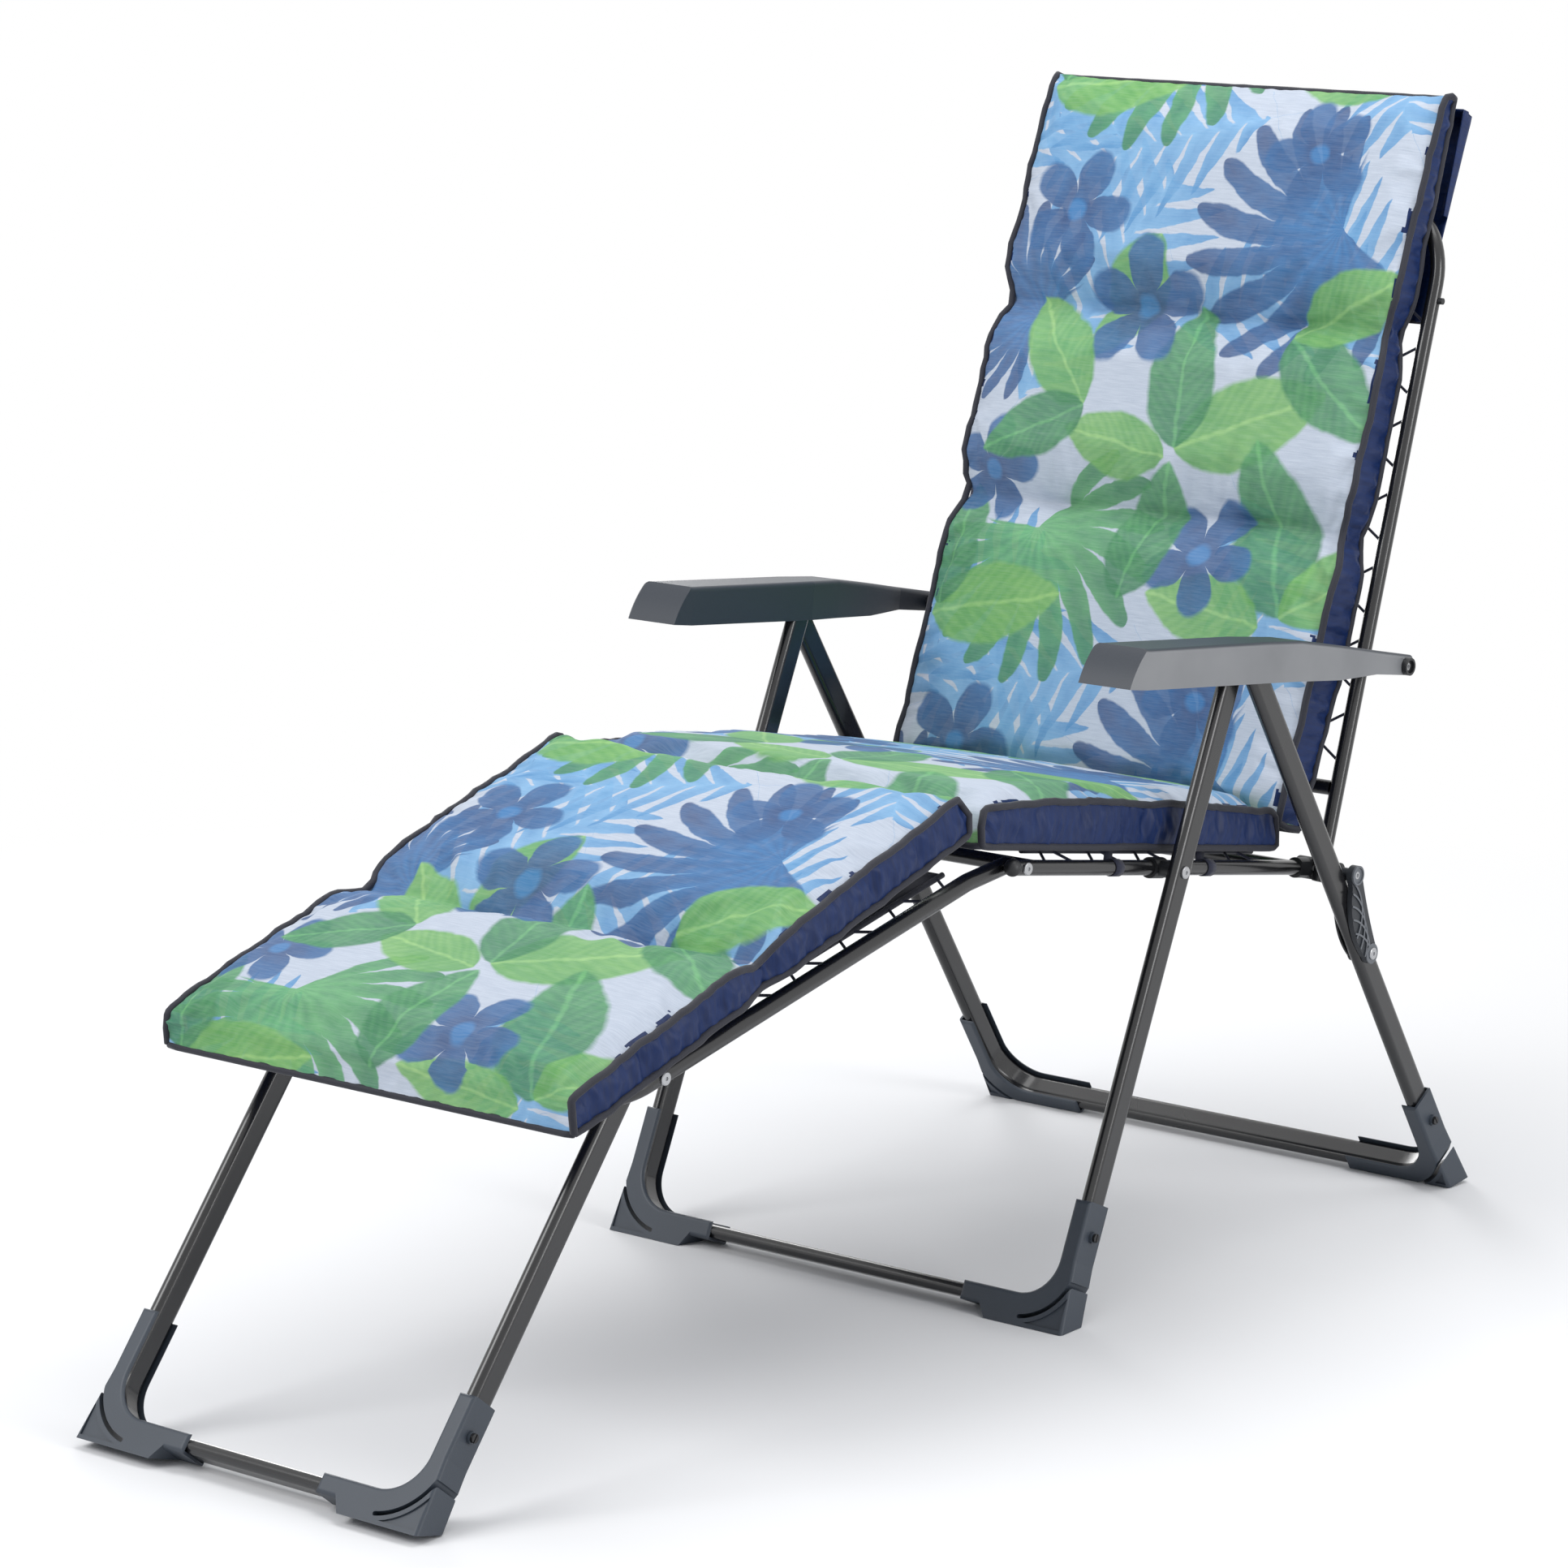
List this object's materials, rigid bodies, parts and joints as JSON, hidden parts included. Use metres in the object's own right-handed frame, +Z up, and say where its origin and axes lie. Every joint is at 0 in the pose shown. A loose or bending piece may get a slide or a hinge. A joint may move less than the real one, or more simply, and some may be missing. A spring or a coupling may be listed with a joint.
{
  "type": "deck chair",
  "caption": "Folding reclining deck chair with footrest, flat-oval tube legs, notched armrests and a padded full-length cushion.",
  "frame": {"origin": "centre of the footprint of the open chair, on the floor", "axes": "+Z up; the sitter faces -Y, with the footrest at -Y and the backrest at +Y; +X runs across the chair, towards the camera's side in the picture"},
  "size_m": [0.666, 1.6578, 1.1969],
  "materials": {
    "oval_tube": "satin black powder coat",
    "round_tube": "satin black powder coat",
    "foot_plastic": "matt slate",
    "armrest_plastic": "fine grained slate grey",
    "black_plastic": "matt black",
    "zinc_steel": "zinc plated",
    "black_steel": "black oxide steel",
    "sling_cloth": "woven black mesh cloth",
    "elastic": "elastic cord",
    "cushion_cover": "pale blue-grey linen weave with painted leaves",
    "hood_cloth": "navy satin cloth"
  },
  "bodies": {
    "rear_legs": {"rear_leg_frame": "oval_tube", "rear_foot_left": "foot_plastic", "rear_foot_right": "foot_plastic", "rear_foot_screws": "black_steel", "rear_leg_rivets": "zinc_steel", "crown_pins": "zinc_steel", "crown_washers": "black_plastic"},
    "front_legs": {"front_leg_frame": "oval_tube", "front_foot_left": "foot_plastic", "front_foot_right": "foot_plastic", "front_foot_screws": "black_steel"},
    "seat": {"seat_frame": "round_tube", "seat_front_caps": "black_plastic", "seat_saddles": "black_plastic", "seat_hinge_blocks": "black_plastic", "seat_rivets": "zinc_steel", "footrest_hinge_bolts": "zinc_steel", "seat_sling": "sling_cloth", "seat_lacing": "elastic", "seat_cushion": "cushion_cover", "cushion_ties": "hood_cloth"},
    "links": {"link_outer_left": "armrest_plastic", "link_outer_right": "armrest_plastic", "link_inner_left": "black_plastic", "link_inner_right": "black_plastic", "link_rivets": "zinc_steel"},
    "back_hinge": {"hinge_pins": "zinc_steel", "back_cushion_foot": "cushion_cover"},
    "backrest": {"backrest_frame": "round_tube", "backrest_low_bar": "round_tube", "backrest_sling": "sling_cloth", "backrest_lacing": "elastic", "back_cushion": "cushion_cover", "cushion_hood": "hood_cloth", "hood_studs": "black_plastic"},
    "arm_bolts": {"armrest_bolts": "zinc_steel", "armrest_spacers": "black_plastic", "armrest_rings": "black_plastic"},
    "armrests": {"armrest_left": "armrest_plastic", "armrest_right": "armrest_plastic", "armrest_rack_left": "black_plastic", "armrest_rack_right": "black_plastic"},
    "footrest": {"footrest_frame": "round_tube", "footrest_sling": "sling_cloth", "footrest_lacing": "elastic", "footrest_cushion": "cushion_cover", "footrest_leg_pins": "zinc_steel", "footrest_leg_spacers": "black_plastic"},
    "footrest_legs": {"footrest_leg_frame": "oval_tube", "footrest_foot_left": "foot_plastic", "footrest_foot_right": "foot_plastic", "footrest_foot_screws": "black_steel"}
  },
  "joints": [
    {"name": "base_fold", "type": "hinge", "parent": "rear_legs", "child": "front_legs", "pos_m": [0, 0.3472, 0.647], "axis": [1, 0, 0], "range_deg": [0, 45.69], "deforming": ["seat_cushion", "back_cushion", "back_cushion_foot", "footrest_cushion", "cushion_hood"]},
    {"name": "seat_fold", "type": "hinge", "parent": "front_legs", "child": "seat", "pos_m": [0, 0.2526, 0.43845], "axis": [1, 0, 0], "range_deg": [-76.2, 0], "deforming": ["seat_cushion", "back_cushion", "back_cushion_foot", "footrest_cushion", "cushion_hood"]},
    {"name": "back_fold", "type": "hinge", "parent": "seat", "child": "back_hinge", "pos_m": [0, 0.53738, 0.38926], "axis": [1, 0, 0], "range_deg": [0, 76.2], "deforming": ["seat_cushion", "back_cushion", "back_cushion_foot"]},
    {"name": "link_swing", "type": "hinge", "parent": "seat", "child": "links", "pos_m": [0, 0.53738, 0.38926], "axis": [1, 0, 0], "range_deg": [-111.2, 0]},
    {"name": "recline", "type": "hinge", "parent": "back_hinge", "child": "backrest", "pos_m": [0, 0.53738, 0.38926], "axis": [-1, 0, 0], "range_deg": [0, 48], "deforming": ["seat_cushion", "back_cushion", "back_cushion_foot"]},
    {"name": "armrest_fold", "type": "hinge", "parent": "backrest", "child": "arm_bolts", "pos_m": [0, 0.60859, 0.60586], "axis": [1, 0, 0], "range_deg": [-85.2, 0]},
    {"name": "armrest_follow", "type": "hinge", "parent": "arm_bolts", "child": "armrests", "pos_m": [0, 0.60859, 0.60586], "axis": [1, 0, 0], "range_deg": [0, 33.4]},
    {"name": "footrest_lift", "type": "hinge", "parent": "seat", "child": "footrest", "pos_m": [0, 0.02103, 0.47845], "axis": [-1, 0, 0], "range_deg": [0, 60], "deforming": ["seat_cushion", "footrest_cushion"]},
    {"name": "footrest_leg_fold", "type": "hinge", "parent": "footrest", "child": "footrest_legs", "pos_m": [0, -0.51333, 0.37106], "axis": [1, 0, 0], "range_deg": [0, 118]}
  ],
  "couplings": [
    {"joint": "seat_fold", "follows": "base_fold", "ratio": -1.6635},
    {"joint": "back_fold", "follows": "base_fold", "ratio": 1.6635},
    {"joint": "link_swing", "follows": "base_fold", "ratio": -2.4265},
    {"joint": "armrest_fold", "follows": "base_fold", "ratio": -1.8604},
    {"joint": "armrest_follow", "follows": "recline", "ratio": 0.694}
  ]
}
